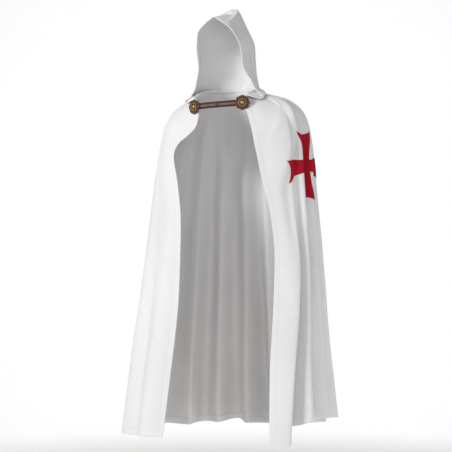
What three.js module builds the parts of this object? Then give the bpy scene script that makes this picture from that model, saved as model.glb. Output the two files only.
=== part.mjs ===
// Hooded mantle of wool cloth with a cross on the upper arm and a leather clasp at the neck.
// Millimetres, Z up, the front faces -Y and the wearer's left is +X; the origin is the neckline's middle.
import * as THREE from 'three';

// Driving sizes
const CLOTH = 2.0;
const SEAM_GAP = 0.3;
const NECK_GAP = 2.2;
const CROSS_SIZE = 245;
const CROSS_WAIST = 42;
const CROSS_ARM_END = 80;
const CROSS_END_DIP = 13;
const CROSS_SIDE_DIP = 4;
const CROSS_CLOTH = 1.0;
const CROSS_AT = { round: 0.848, level: 0.335 };
const CROSS_LENGTH_OVER_HEIGHT = 1.04;
const STRAP_WIDTH = 21;
const STRAP_LEATHER = 2.2;
const STRAP_POINT = 12;
const CLASP_ANGLES = { right: -17, left: 19.8 };
const CLASP_CENTRE = { x: 1, y: 148, z: -8 };
const CLASP_SLOPE = 0.05;
const ROSETTE_SCALLOPS = 8;
const ROSETTE_RADIUS = 26;
const ROSETTE_SCALLOP_DEPTH = 3.2;
const ROSETTE_LEATHER = 3.4;
const ROSETTE_SEAT = -0.95;
const BOSS_RADIUS = 14.5;
const BOSS_HEIGHT = 5.6;
const HOOD_TURN = 9;
const HOOD_TURN_Y = -30;

// Where the cape's panels are cut, as a share of the way round from its right front edge
const PANEL_CUTS = { right: 0.305, left: 0.695 };
const FRONT_SHARE = 0.17;

// The cape's rings, from the neckline to the hem, each half one squared oval
const RINGS = table(
  ['level', 'halfWidth', 'shift', 'front', 'back', 'frontZ', 'rightZ', 'leftZ', 'backZ',
    'squareFront', 'squareBack', 'rightEdgeX', 'leftEdgeX'],
  [
    [0.000, 103, 0, 125, 72, -2, 45, 45, 43, 5.0, 2.2, 74, 90],
    [0.012, 106, 1, 126, 76, -11, 38, 39, 35, 4.8, 2.2, 74, 92],
    [0.040, 124, 3, 129, 89, -27, 32, 35, 22, 4.0, 2.3, 73, 99],
    [0.080, 160, 6, 138, 108, -56, 21, 26, -2, 3.2, 2.5, 73, 112],
    [0.120, 202, 9, 147, 126, -92, 6, 12, -36, 2.8, 2.7, 84, 124],
    [0.155, 236, 12, 153, 138, -126, -20, -15, -70, 2.7, 2.5, 118, 134],
    [0.190, 257, 12, 158, 147, -158, -57, -54, -106, 2.55, 2.35, 152, 142],
    [0.240, 272, 11, 163, 156, -206, -113, -110, -158, 2.4, 2.2, 173, 154],
    [0.320, 287, 6, 168, 168, -294, -206, -200, -246, 2.3, 2.15, 146, 177],
    [0.420, 299, 0, 174, 188, -406, -328, -316, -364, 2.25, 2.15, 124, 209],
    [0.550, 313, -5, 184, 214, -556, -494, -470, -524, 2.25, 2.2, 117, 233],
    [0.700, 330, -12, 200, 247, -736, -694, -652, -714, 2.25, 2.2, 114, 240],
    [0.850, 351, -22, 220, 281, -932, -920, -850, -922, 2.2, 2.2, 122, 241],
    [1.000, 374, -26, 240, 314, -1146, -1166, -1070, -1144, 2.2, 2.2, 142, 242],
  ]);

// The hanging folds, one row each, from the right front edge round the back to the left one
const FOLDS = table(
  ['top', 'hem', 'rise', 'start', 'lean', 'drop'],
  [
    [-0.050, -0.050, 20, 0.30, 0, 0],
    [0.040, 0.036, 30, 0.30, 0, 0],
    [0.122, 0.120, 44, 0.26, 6, 4],
    [0.205, 0.203, 62, 0.15, 0, -4],
    [0.280, 0.282, 70, 0.13, -10, 5],
    [0.352, 0.355, 84, 0.16, 8, -3],
    [0.425, 0.430, 74, 0.22, 0, 6],
    [0.503, 0.503, 92, 0.18, -8, -8],
    [0.578, 0.577, 78, 0.20, 10, 2],
    [0.648, 0.650, 82, 0.15, 0, -4],
    [0.715, 0.716, 68, 0.12, 6, 3],
    [0.772, 0.778, 58, 0.07, 0, -6],
    [0.822, 0.838, 56, 0.03, -4, 0],
    [0.868, 0.895, 56, 0.06, -6, 6],
    [0.893, 0.976, 66, 0.02, -42, -44],
    [1.090, 1.080, 40, 0.30, 0, 0],
  ]);
const FOLD_ROUNDNESS = 2;
const FOLD_SWELL = 3;

// The hood's courses, from the neckline over the spread lapel up to the crown
const HOOD = table(
  ['course', 'rimX', 'rimY', 'rimZ', 'seamY', 'seamZ'],
  [
    [0.0, 84, -113, 0, 72, 43],
    [1.0, 104, -110, 20, 70, 50],
    [2.0, 128, -98, 14, 70, 56],
    [3.0, 146, -80, 8, 72, 62],
    [4.0, 149, -66, 14, 74, 69],
    [5.0, 128, -66, 38, 75, 78],
    [6.0, 114, -68, 62, 76, 91],
    [7.0, 103, -74, 94, 77, 110],
    [8.0, 97, -81, 130, 78, 137],
    [9.0, 94, -88, 167, 78, 169],
    [10.0, 92, -98, 208, 72, 214],
    [11.0, 76, -113, 244, 54, 258],
    [11.5, 63, -117, 257, 34, 294],
    [12.0, 49, -119, 268, 4, 332],
    [12.3, 38, -120, 276, -16, 320],
    [12.6, 25, -121, 284, -54, 311],
    [13.0, 12, -121, 290, -119, 296],
  ]);
const HOOD_FULLNESS = 0.86;
const HOOD_LAPEL_PINCH = 0.95;
const HOOD_LAPEL_LIFT = 0.3;
const HOOD_REST = 6.5;

// How finely each piece is divided
const CAPE_LEVELS = [0, 0.012, 0.03, 0.05, 0.075, 0.1, 0.12, 0.14, 0.16, 0.18, 0.205, 0.235, 0.27,
  0.31, 0.36, 0.42, 0.48, 0.54, 0.61, 0.68, 0.75, 0.83, 0.91, 1];
const CAPE_COLUMNS = { right: 28, back: 36, left: 30 };
const HOOD_COLUMNS = 18;
const HOOD_COURSES = [0, 0.45, 1, 1.7, 2.4, 3, 3.5, 4, 4.5, 5, 5.6, 6.3, 7.2, 8.2, 9.2, 10, 10.6,
  11.1, 11.5, 11.8, 12, 12.2, 12.4, 12.6, 12.8, 13];

function table(columns, rows) {
  return rows.map((row) => Object.fromEntries(columns.map((name, k) => [name, row[k]])));
}

function read(rows, key, name, at) {
  let k = 0;
  while (k < rows.length - 2 && rows[k + 1][key] <= at) k += 1;
  const slope = (i) => {
    const a = rows[Math.max(i - 1, 0)];
    const b = rows[Math.min(i + 1, rows.length - 1)];
    return (b[name] - a[name]) / (b[key] - a[key]);
  };
  const span = rows[k + 1][key] - rows[k][key];
  const t = (at - rows[k][key]) / span;
  return (2 * t ** 3 - 3 * t ** 2 + 1) * rows[k][name]
    + (t ** 3 - 2 * t ** 2 + t) * span * slope(k)
    + (3 * t ** 2 - 2 * t ** 3) * rows[k + 1][name]
    + (t ** 3 - t ** 2) * span * slope(k + 1);
}

function smooth(from, to, at) {
  const t = Math.min(Math.max((at - from) / (to - from), 0), 1);
  return t * t * (3 - 2 * t);
}

// One ring of the cape, laid out in four arcs so that it is divided by length
function ringArc(width, depth, power, from, to, signX, signY) {
  const points = [];
  const lengths = [0];
  for (let k = 0; k <= 48; k += 1) {
    const angle = from + (to - from) * k / 48;
    const x = signX * width * Math.abs(Math.sin(angle)) ** (2 / power);
    const y = signY * depth * Math.abs(Math.cos(angle)) ** (2 / power);
    points.push(new THREE.Vector2(x, y));
    if (k > 0) lengths.push(lengths[k - 1] + points[k].distanceTo(points[k - 1]));
  }
  return { points, lengths };
}

function capeRing(level) {
  const size = {};
  for (const name of Object.keys(RINGS[0])) size[name] = read(RINGS, 'level', name, level);
  const edgeAngle = (x) => Math.asin(Math.min(x / size.halfWidth, 1) ** (size.squareFront / 2));
  const side = Math.PI / 2;
  const arcs = [
    ringArc(size.halfWidth, size.front, size.squareFront, edgeAngle(size.rightEdgeX), side, -1, -1),
    ringArc(size.halfWidth, size.back, size.squareBack, side, 0, -1, 1),
    ringArc(size.halfWidth, size.back, size.squareBack, 0, side, 1, 1),
    ringArc(size.halfWidth, size.front, size.squareFront, side, edgeAngle(size.leftEdgeX), 1, -1),
  ];
  return { level, size, arcs };
}

function ringPoint(ring, round) {
  const knots = [0, FRONT_SHARE, 0.5, 1 - FRONT_SHARE, 1];
  let k = 0;
  while (k < 3 && knots[k + 1] <= round) k += 1;
  const { points, lengths } = ring.arcs[k];
  const share = (round - knots[k]) / (knots[k + 1] - knots[k]);
  const along = Math.min(Math.max(share, 0), 1) * lengths[lengths.length - 1];
  let i = 0;
  while (i < lengths.length - 2 && lengths[i + 1] <= along) i += 1;
  const t = (along - lengths[i]) / (lengths[i + 1] - lengths[i]);
  return points[i].clone().lerp(points[i + 1], t);
}

function foldAt(round, level) {
  const centre = (fold) => fold.top + (fold.hem - fold.top) * level;
  let k = 0;
  while (k < FOLDS.length - 2 && centre(FOLDS[k + 1]) <= round) k += 1;
  const f = (round - centre(FOLDS[k])) / (centre(FOLDS[k + 1]) - centre(FOLDS[k]));
  const blend = smooth(0, 1, f);
  const mix = (name) => FOLDS[k][name] * (1 - blend) + FOLDS[k + 1][name] * blend;
  const start = mix('start');
  const grown = Math.max(0, (level - start) / (1 - start)) ** 0.85
    * smooth(start - 0.02, start + 0.1, level);
  const crest = 1 - Math.abs(Math.sin(Math.PI * f)) ** FOLD_ROUNDNESS;
  return {
    rise: mix('rise') * grown * (crest - 0.62),
    lean: mix('lean') * grown * crest + FOLD_SWELL * grown * Math.sin(2 * Math.PI * f),
    drop: mix('drop') * grown * crest,
  };
}

function capePoint(ring, round) {
  const { size, level } = ring;
  const at = ringPoint(ring, round);
  const step = 0.004;
  const before = ringPoint(ring, Math.max(round - step, 0));
  const after = ringPoint(ring, Math.min(round + step, 1));
  const along = after.sub(before).normalize();
  const out = new THREE.Vector2(-along.y, along.x);
  if (out.dot(at) < 0) out.negate();
  const fold = foldAt(round, level);
  const plan = at.clone().addScaledVector(out, fold.rise).addScaledVector(along, fold.lean);
  const toLeft = smooth(-1, 1, at.x / size.halfWidth);
  const sideZ = size.rightZ * (1 - toLeft) + size.leftZ * toLeft;
  const z = at.y >= 0
    ? sideZ + (size.backZ - sideZ) * (at.y / size.back) ** 2
    : sideZ + (size.frontZ - sideZ) * (at.y / size.front) ** 2;
  return new THREE.Vector3(plan.x + size.shift, plan.y, z + fold.drop);
}

// How high the shoulder of the cape lies under a point seen from above
function shoulderZ(x, y) {
  const outside = (level) => {
    const width = read(RINGS, 'level', 'halfWidth', level);
    const depth = read(RINGS, 'level', y < 0 ? 'front' : 'back', level);
    const power = read(RINGS, 'level', y < 0 ? 'squareFront' : 'squareBack', level);
    const shift = read(RINGS, 'level', 'shift', level);
    return Math.abs((x - shift) / width) ** power + Math.abs(y / depth) ** power - 1;
  };
  let low = 0;
  let high = 0.2;
  if (outside(low) <= 0) high = 0;
  for (let k = 0; k < 24; k += 1) {
    const middle = (low + high) / 2;
    if (outside(middle) > 0) low = middle;
    else high = middle;
  }
  const level = (low + high) / 2;
  const toLeft = smooth(-1, 1, x / read(RINGS, 'level', 'halfWidth', level));
  const sideZ = read(RINGS, 'level', 'rightZ', level) * (1 - toLeft)
    + read(RINGS, 'level', 'leftZ', level) * toLeft;
  const endZ = read(RINGS, 'level', y < 0 ? 'frontZ' : 'backZ', level);
  const depth = read(RINGS, 'level', y < 0 ? 'front' : 'back', level);
  return sideZ + (endZ - sideZ) * Math.min((y / depth) ** 2, 1);
}

// One half of the hood, from its front rim to the seam over the crown
function hoodPoint(side, share, course) {
  const row = {};
  for (const name of Object.keys(HOOD[0])) row[name] = read(HOOD, 'course', name, course);
  const angle = share * Math.PI / 2;
  const lapel = Math.exp(-(((course - 4) / 1.8) ** 2));
  const bend = HOOD_FULLNESS + HOOD_LAPEL_PINCH * lapel;
  const x = row.rimX * Math.cos(angle) ** bend;
  const y = row.rimY + (row.seamY - row.rimY) * Math.sin(angle);
  const z = row.rimZ + (row.seamZ - row.rimZ) * Math.sin(angle) ** (1 - HOOD_LAPEL_LIFT * lapel);
  const point = new THREE.Vector3(side * x, y, z);
  const risen = smooth(0, 1.2, course);
  if (risen < 1) {
    const neck = capePoint(NECK_RING, side < 0 ? 0.5 * share : 1 - 0.5 * share);
    neck.z += NECK_GAP + 10 * course;
    point.lerpVectors(neck, point, risen);
  }
  if (course > 0 && point.z < 90) {
    const rest = shoulderZ(point.x, point.y) + HOOD_REST * smooth(0, 0.8, course);
    const above = point.z - rest;
    point.z = rest + 0.5 * (above + Math.hypot(above, 6 * smooth(0, 0.8, course)));
  }
  const turn = THREE.MathUtils.degToRad(HOOD_TURN) * smooth(55, 130, point.z);
  const y0 = point.y - HOOD_TURN_Y;
  return new THREE.Vector3(
    point.x * Math.cos(turn) + y0 * Math.sin(turn),
    -point.x * Math.sin(turn) + y0 * Math.cos(turn) + HOOD_TURN_Y,
    point.z);
}

// Grids of points, and the closed walls made of them: the grid is the outer face
function gridNormals(rows, turned) {
  const last = rows.length - 1;
  return rows.map((row, i) => row.map((point, j) => {
    const down = rows[Math.min(i + 1, last)][j].clone().sub(rows[Math.max(i - 1, 0)][j]);
    const along = row[Math.min(j + 1, row.length - 1)].clone().sub(row[Math.max(j - 1, 0)]);
    return along.cross(down).normalize().multiplyScalar(turned ? 1 : -1);
  }));
}

function wallGeometry(rows, thickness, turned = false, mitres = null) {
  const normals = gridNormals(rows, turned);
  if (mitres) {
    normals.forEach((row, i) => {
      const edge = row[row.length - 1];
      edge.addScaledVector(mitres[i], -edge.dot(mitres[i]));
      edge.divideScalar(Math.max(edge.lengthSq(), 0.4));
    });
  }
  const across = rows[0].length;
  const positions = [];
  for (const row of rows) for (const point of row) positions.push(...point);
  rows.forEach((row, i) => row.forEach((point, j) => {
    positions.push(...point.clone().addScaledVector(normals[i][j], -thickness));
  }));
  const inside = rows.length * across;
  const index = [];
  const face = (a, b, c) => (turned ? index.push(a, c, b) : index.push(a, b, c));
  for (let i = 0; i < rows.length - 1; i += 1) {
    for (let j = 0; j < across - 1; j += 1) {
      const a = i * across + j;
      const b = a + across;
      face(a, b, b + 1);
      face(a, b + 1, a + 1);
      face(inside + a, inside + b + 1, inside + b);
      face(inside + a, inside + a + 1, inside + b + 1);
    }
  }
  const rim = [];
  for (let j = 0; j < across - 1; j += 1) rim.push(j);
  for (let i = 0; i < rows.length - 1; i += 1) rim.push(i * across + across - 1);
  for (let j = across - 1; j > 0; j -= 1) rim.push((rows.length - 1) * across + j);
  for (let i = rows.length - 1; i > 0; i -= 1) rim.push(i * across);
  rim.forEach((a, k) => {
    const b = rim[(k + 1) % rim.length];
    face(a, b, inside + b);
    face(a, inside + b, inside + a);
  });
  const geometry = new THREE.BufferGeometry();
  geometry.setAttribute('position', new THREE.Float32BufferAttribute(positions, 3));
  geometry.setIndex(index);
  geometry.computeVertexNormals();
  return geometry;
}

// The cape's three panels, cut at the shoulder blades
const RING_SET = CAPE_LEVELS.map(capeRing);
const NECK_RING = RING_SET[0];

function panelRows(from, to, columns, trimFrom, trimTo) {
  return RING_SET.map((ring) => {
    const length = ring.arcs.reduce((sum, arc) => sum + arc.lengths[arc.lengths.length - 1], 0);
    const trim = 0.8 * SEAM_GAP / length;
    const start = from + (trimFrom ? trim : 0);
    const end = to - (trimTo ? trim : 0);
    const row = [];
    for (let j = 0; j <= columns; j += 1) row.push(capePoint(ring, start + (end - start) * j / columns));
    return row;
  });
}

const frontRightRows = panelRows(0, PANEL_CUTS.right, CAPE_COLUMNS.right, false, true);
const backRows = panelRows(PANEL_CUTS.right, PANEL_CUTS.left, CAPE_COLUMNS.back, true, true);
const frontLeftRows = panelRows(PANEL_CUTS.left, 1, CAPE_COLUMNS.left, true, false);

function hoodRows(side) {
  return HOOD_COURSES.map((course) => {
    const row = [];
    for (let j = 0; j <= HOOD_COLUMNS; j += 1) row.push(hoodPoint(side, j / HOOD_COLUMNS, course));
    return row;
  });
}

// The direction across the hood's middle seam at each course
function seamAcross(rows) {
  return rows.map((row) => {
    const turn = THREE.MathUtils.degToRad(HOOD_TURN) * smooth(55, 130, row[HOOD_COLUMNS].z);
    return new THREE.Vector3(Math.cos(turn), -Math.sin(turn), 0);
  });
}

const hoodRightRows = hoodRows(-1);
const hoodLeftRows = hoodRows(1);
const acrossSeam = seamAcross(hoodRightRows);
acrossSeam.forEach((across, i) => {
  hoodRightRows[i][HOOD_COLUMNS].addScaledVector(across, -0.5 * SEAM_GAP);
  hoodLeftRows[i][HOOD_COLUMNS].addScaledVector(across, 0.5 * SEAM_GAP);
});

// The cross laid flat, in parts without hollows that share whole edges
function crossParts() {
  const half = CROSS_SIZE / 2;
  const waist = CROSS_WAIST / 2;
  const armEnd = CROSS_ARM_END / 2;
  const sidePoint = (side, step) => {
    const t = step / 3;
    const across = waist + (armEnd - waist) * t - CROSS_SIDE_DIP * Math.sin(Math.PI * t);
    return [side * across, waist + (half - waist) * t];
  };
  const endPoint = (step) => {
    const t = step / 4;
    return [armEnd * (2 * t - 1), half - CROSS_END_DIP * Math.sin(Math.PI * t)];
  };
  const left = sidePoint(-1, 2);
  const right = sidePoint(1, 2);
  const arm = [
    [sidePoint(-1, 0), sidePoint(1, 0), sidePoint(1, 1), sidePoint(-1, 1)],
    [sidePoint(-1, 1), sidePoint(1, 1), right, left],
    [left, endPoint(1), endPoint(0)],
    [left, endPoint(2), endPoint(1)],
    [left, right, endPoint(2)],
    [right, endPoint(3), endPoint(2)],
    [right, endPoint(4), endPoint(3)],
  ];
  const parts = [[[-waist, -waist], [waist, -waist], [waist, waist], [-waist, waist]]];
  for (let turn = 0; turn < 4; turn += 1) {
    const cos = Math.round(Math.cos(turn * Math.PI / 2));
    const sin = Math.round(Math.sin(turn * Math.PI / 2));
    for (const part of arm) parts.push(part.map(([x, y]) => [x * cos - y * sin, x * sin + y * cos]));
  }
  return parts;
}

// What a triangle covers of one flat part
function covered(part, triangle) {
  let ring = part;
  triangle.forEach((a, k) => {
    const b = triangle[(k + 1) % 3];
    const within = ([x, y]) => (b[0] - a[0]) * (y - a[1]) - (b[1] - a[1]) * (x - a[0]);
    const kept = [];
    ring.forEach((p, m) => {
      const q = ring[(m + 1) % ring.length];
      const here = within(p);
      const next = within(q);
      if (here >= 0) kept.push(p);
      if (here * next < 0) {
        const t = here / (here - next);
        kept.push([p[0] + (q[0] - p[0]) * t, p[1] + (q[1] - p[1]) * t]);
      }
    });
    ring = kept;
  });
  return ring;
}

// The cross, cut to its outline from the panel's own faces moved outward
function crossGeometry() {
  const rows = frontLeftRows;
  const normals = gridNormals(rows, true);
  const columnAt = (CROSS_AT.round - PANEL_CUTS.left) / (1 - PANEL_CUTS.left) * CAPE_COLUMNS.left;
  const midColumn = Math.round(columnAt);
  const shareAside = columnAt - midColumn;
  const midRow = CAPE_LEVELS.findIndex((level) => level >= CROSS_AT.level);
  const flat = rows.map(() => []);
  rows.forEach((row, i) => {
    flat[i][midColumn] = [0, 0];
    for (let j = midColumn + 1; j < row.length; j += 1) {
      flat[i][j] = [flat[i][j - 1][0] + row[j].distanceTo(row[j - 1]), 0];
    }
    for (let j = midColumn - 1; j >= 0; j -= 1) {
      flat[i][j] = [flat[i][j + 1][0] - row[j].distanceTo(row[j + 1]), 0];
    }
    const aside = shareAside * (flat[i][midColumn + 1][0] - flat[i][midColumn][0]);
    row.forEach((point, j) => { flat[i][j][0] -= aside; });
  });
  for (let i = midRow + 1; i < rows.length; i += 1) {
    rows[i].forEach((point, j) => {
      flat[i][j][1] = flat[i - 1][j][1] - point.distanceTo(rows[i - 1][j]);
    });
  }
  for (let i = midRow - 1; i >= 0; i -= 1) {
    rows[i].forEach((point, j) => {
      flat[i][j][1] = flat[i + 1][j][1] + point.distanceTo(rows[i + 1][j]);
    });
  }
  const [levelAbove, levelBelow] = CAPE_LEVELS.slice(midRow - 1, midRow + 1);
  const shareDown = (CROSS_AT.level - levelBelow) / (levelBelow - levelAbove);
  const lift = shareDown * (flat[midRow - 1][midColumn][1] - flat[midRow][midColumn][1]);
  const above = rows[midRow - 1][midColumn].z;
  const below = rows[midRow][midColumn].z;
  const middleZ = below + shareDown * (above - below);
  flat.forEach((row, i) => row.forEach((at, j) => {
    const byHeight = (rows[i][j].z - middleZ) * CROSS_LENGTH_OVER_HEIGHT;
    at[1] = 0.5 * (at[1] + lift + byHeight);
  }));
  const parts = crossParts();
  const reach = CROSS_SIZE / 2 + 2;
  const low = [];
  const high = [];
  const seen = new Map();
  const faces = [];
  const vertex = (corners, weights) => {
    const point = new THREE.Vector3();
    const out = new THREE.Vector3();
    corners.forEach(([i, j], k) => {
      point.addScaledVector(rows[i][j], weights[k]);
      out.addScaledVector(normals[i][j], weights[k]);
    });
    const key = point.toArray().map((value) => Math.round(value * 500)).join();
    if (!seen.has(key)) {
      seen.set(key, low.length);
      low.push(point.clone().addScaledVector(out, SEAM_GAP));
      high.push(point.clone().addScaledVector(out, SEAM_GAP + CROSS_CLOTH));
    }
    return seen.get(key);
  };
  const clip = (corners) => {
    const [a, b, c] = corners.map(([i, j]) => flat[i][j]);
    if ([a, b, c].every((p) => Math.abs(p[0]) > reach || Math.abs(p[1]) > reach)
      && Math.min(...[a, b, c].map((p) => Math.hypot(p[0], p[1]))) > reach * 1.5) return;
    const area = (b[0] - a[0]) * (c[1] - a[1]) - (c[0] - a[0]) * (b[1] - a[1]);
    if (area <= 0) return;
    for (const part of parts) {
      const ids = covered(part, [a, b, c]).map(([x, y]) => {
        const wb = ((x - a[0]) * (c[1] - a[1]) - (c[0] - a[0]) * (y - a[1])) / area;
        const wc = ((b[0] - a[0]) * (y - a[1]) - (x - a[0]) * (b[1] - a[1])) / area;
        return vertex(corners, [1 - wb - wc, wb, wc]);
      });
      const ring = ids.filter((id, m) => id !== ids[(m + 1) % ids.length]);
      for (let m = 1; m < ring.length - 1; m += 1) faces.push([ring[0], ring[m + 1], ring[m]]);
    }
  };
  for (let i = 0; i < rows.length - 1; i += 1) {
    for (let j = 0; j < rows[0].length - 1; j += 1) {
      clip([[i, j], [i + 1, j], [i + 1, j + 1]]);
      clip([[i, j], [i + 1, j + 1], [i, j + 1]]);
    }
  }
  const index = [];
  const borders = new Map();
  for (const [a, b, c] of faces) {
    index.push(a, b, c, low.length + a, low.length + c, low.length + b);
    for (const [p, q] of [[a, b], [b, c], [c, a]]) {
      const twin = `${q},${p}`;
      if (borders.has(twin)) borders.delete(twin);
      else borders.set(`${p},${q}`, [p, q]);
    }
  }
  for (const [p, q] of borders.values()) {
    index.push(p, low.length + p, q, q, low.length + p, low.length + q);
  }
  const geometry = new THREE.BufferGeometry();
  const points = [...high, ...low].flatMap((point) => point.toArray());
  geometry.setAttribute('position', new THREE.Float32BufferAttribute(points, 3));
  geometry.setIndex(index);
  geometry.computeVertexNormals();
  return geometry;
}

// The clasp's place, found from how far the cloth and the lapels reach under it
const clothByClasp = [];
for (const rows of [frontRightRows, frontLeftRows, hoodRightRows, hoodLeftRows]) {
  for (let i = 0; i < 8; i += 1) {
    for (let j = 0; j < rows[0].length - 1; j += 1) {
      for (let k = 0; k < 36; k += 1) {
        const along = (k % 6) / 5;
        const above = rows[i][j].clone().lerp(rows[i][j + 1], along);
        const below = rows[i + 1][j].clone().lerp(rows[i + 1][j + 1], along);
        const point = above.lerp(below, Math.floor(k / 6) / 5);
        if (point.y < -60) clothByClasp.push(point);
      }
    }
  }
}

function reachUnder(far, near) {
  return clothByClasp.map((point) => {
    const x = point.x - CLASP_CENTRE.x;
    const y = point.y - CLASP_CENTRE.y;
    return near(x, y, point.z - CLASP_CENTRE.z - CLASP_SLOPE * x) ? far(x, y) : 0;
  }).reduce((most, reach) => Math.max(most, reach), 0);
}

const rightAngle = THREE.MathUtils.degToRad(CLASP_ANGLES.right);
const leftAngle = THREE.MathUtils.degToRad(CLASP_ANGLES.left);
const underStrap = reachUnder(
  (x, y) => Math.hypot(x, y),
  (x, y, z) => Math.abs(z) < STRAP_WIDTH / 2 + 1.5
    && Math.atan2(x, -y) > rightAngle - 0.05 && Math.atan2(x, -y) < leftAngle + 0.05);
const [underRight, underLeft] = [rightAngle, leftAngle].map((angle) => reachUnder(
  (x, y) => x * Math.sin(angle) - y * Math.cos(angle),
  (x, y, z) => Math.hypot(x * Math.cos(angle) + y * Math.sin(angle), z) < ROSETTE_RADIUS + 1.5));
const strapInnerRadius = ROSETTE_SEAT + Math.max(
  underStrap,
  underRight - 2 * STRAP_LEATHER - SEAM_GAP,
  underLeft - STRAP_LEATHER);

function onClasp(radius, angle, lift) {
  const x = CLASP_CENTRE.x + radius * Math.sin(angle);
  const y = CLASP_CENTRE.y - radius * Math.cos(angle);
  return new THREE.Vector3(x, y, CLASP_CENTRE.z + CLASP_SLOPE * (x - CLASP_CENTRE.x) + lift);
}

// The clasp: two straps bent round the front of the neck, each under a leather rosette and a boss
function strapGeometry(innerRadius, fromAngle, tipAngle) {
  const steps = 26;
  const half = STRAP_WIDTH / 2;
  const outline = [];
  const tipShare = STRAP_POINT / innerRadius;
  const direction = Math.sign(tipAngle - fromAngle);
  const shoulder = tipAngle - direction * tipShare;
  for (let k = 0; k <= steps; k += 1) {
    outline.push([fromAngle + (shoulder - fromAngle) * k / steps, half]);
  }
  outline.push([tipAngle - direction * tipShare * 0.45, half * 0.62]);
  outline.push([tipAngle, 0.6]);
  const outer = outline.map(([angle, width]) => [-1, -0.5, 0, 0.5, 1].map((share) => (
    onClasp(innerRadius + STRAP_LEATHER, angle, share * width))));
  return wallGeometry(outer, STRAP_LEATHER, direction < 0);
}

function placeOnClasp(geometry, angle, radius) {
  const at = onClasp(radius, angle, 0);
  return geometry.rotateX(Math.PI / 2).rotateZ(angle).translate(at.x, at.y, at.z);
}

function rosetteGeometry() {
  const points = [];
  const count = ROSETTE_SCALLOPS * 6;
  for (let k = 0; k < count; k += 1) {
    const angle = 2 * Math.PI * k / count;
    const lobe = Math.abs(Math.cos(ROSETTE_SCALLOPS * angle / 2)) ** 0.6;
    const radius = ROSETTE_RADIUS - 0.8 - ROSETTE_SCALLOP_DEPTH * (1 - lobe);
    points.push(new THREE.Vector2(radius * Math.cos(angle), radius * Math.sin(angle)));
  }
  const geometry = new THREE.ExtrudeGeometry(new THREE.Shape(points), {
    depth: ROSETTE_LEATHER - 1.6, bevelThickness: 0.8, bevelSize: 0.8, bevelSegments: 1,
  });
  return geometry.translate(0, 0, 0.8);
}

function bossGeometry() {
  const r = BOSS_RADIUS;
  const h = BOSS_HEIGHT;
  const profile = [
    [0, 0], [r - 0.6, 0], [r, 0.8], [r - 0.3, h * 0.42], [r - 1.6, h * 0.62], [r - 3.2, h * 0.5],
    [r - 4.2, h * 0.3], [r * 0.52, h * 0.3], [r * 0.47, h * 0.62], [r * 0.34, h * 0.9],
    [r * 0.16, h * 0.99], [0, h],
  ].map(([x, y]) => new THREE.Vector2(x, y));
  return new THREE.LatheGeometry(profile, 30).rotateX(Math.PI / 2);
}

const rosetteRadius = {
  left: strapInnerRadius + STRAP_LEATHER + SEAM_GAP,
  right: strapInnerRadius + 2 * (STRAP_LEATHER + SEAM_GAP),
};
const strapTail = 0.042;

// Colours of the photographed piece, as one plain material for each node
const COLOURS = {
  cloth: '#eceae6',
  cross: '#b3102a',
  leather: '#4a1c16',
  brass: '#b08d4a',
};

function piece(name, geometry, colour, roughness, metalness = 0) {
  const material = new THREE.MeshStandardMaterial({ color: colour, roughness, metalness });
  material.name = name;
  const mesh = new THREE.Mesh(geometry, material);
  mesh.name = name;
  return mesh;
}

const straps = {
  left: strapGeometry(strapInnerRadius, leftAngle + strapTail, -0.06),
  right: strapGeometry(strapInnerRadius + STRAP_LEATHER + SEAM_GAP, rightAngle - strapTail, 0.045),
};
const bossRadius = {
  left: rosetteRadius.left + ROSETTE_LEATHER + SEAM_GAP,
  right: rosetteRadius.right + ROSETTE_LEATHER + SEAM_GAP,
};
const rosettes = {
  left: placeOnClasp(rosetteGeometry(), leftAngle, rosetteRadius.left),
  right: placeOnClasp(rosetteGeometry(), rightAngle, rosetteRadius.right),
};
const bosses = {
  left: placeOnClasp(bossGeometry(), leftAngle, bossRadius.left),
  right: placeOnClasp(bossGeometry(), rightAngle, bossRadius.right),
};

const cape = new THREE.Group();
cape.name = 'templar_cape';
cape.add(
  piece('back', wallGeometry(backRows, CLOTH, true), COLOURS.cloth, 0.9),
  piece('front_right', wallGeometry(frontRightRows, CLOTH, true), COLOURS.cloth, 0.9),
  piece('front_left', wallGeometry(frontLeftRows, CLOTH, true), COLOURS.cloth, 0.9),
  piece('hood_right', wallGeometry(hoodRightRows, CLOTH, false, acrossSeam), COLOURS.cloth, 0.9),
  piece('hood_left', wallGeometry(hoodLeftRows, CLOTH, true, acrossSeam), COLOURS.cloth, 0.9),
  piece('cross', crossGeometry(), COLOURS.cross, 0.85),
  piece('strap_left', straps.left, COLOURS.leather, 0.6),
  piece('strap_right', straps.right, COLOURS.leather, 0.6),
  piece('rosette_left', rosettes.left, COLOURS.leather, 0.6),
  piece('rosette_right', rosettes.right, COLOURS.leather, 0.6),
  piece('boss_left', bosses.left, COLOURS.brass, 0.35, 0.9),
  piece('boss_right', bosses.right, COLOURS.brass, 0.35, 0.9),
);

export default cape;
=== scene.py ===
import math

import bpy
import numpy as np
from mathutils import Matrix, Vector, noise


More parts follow.
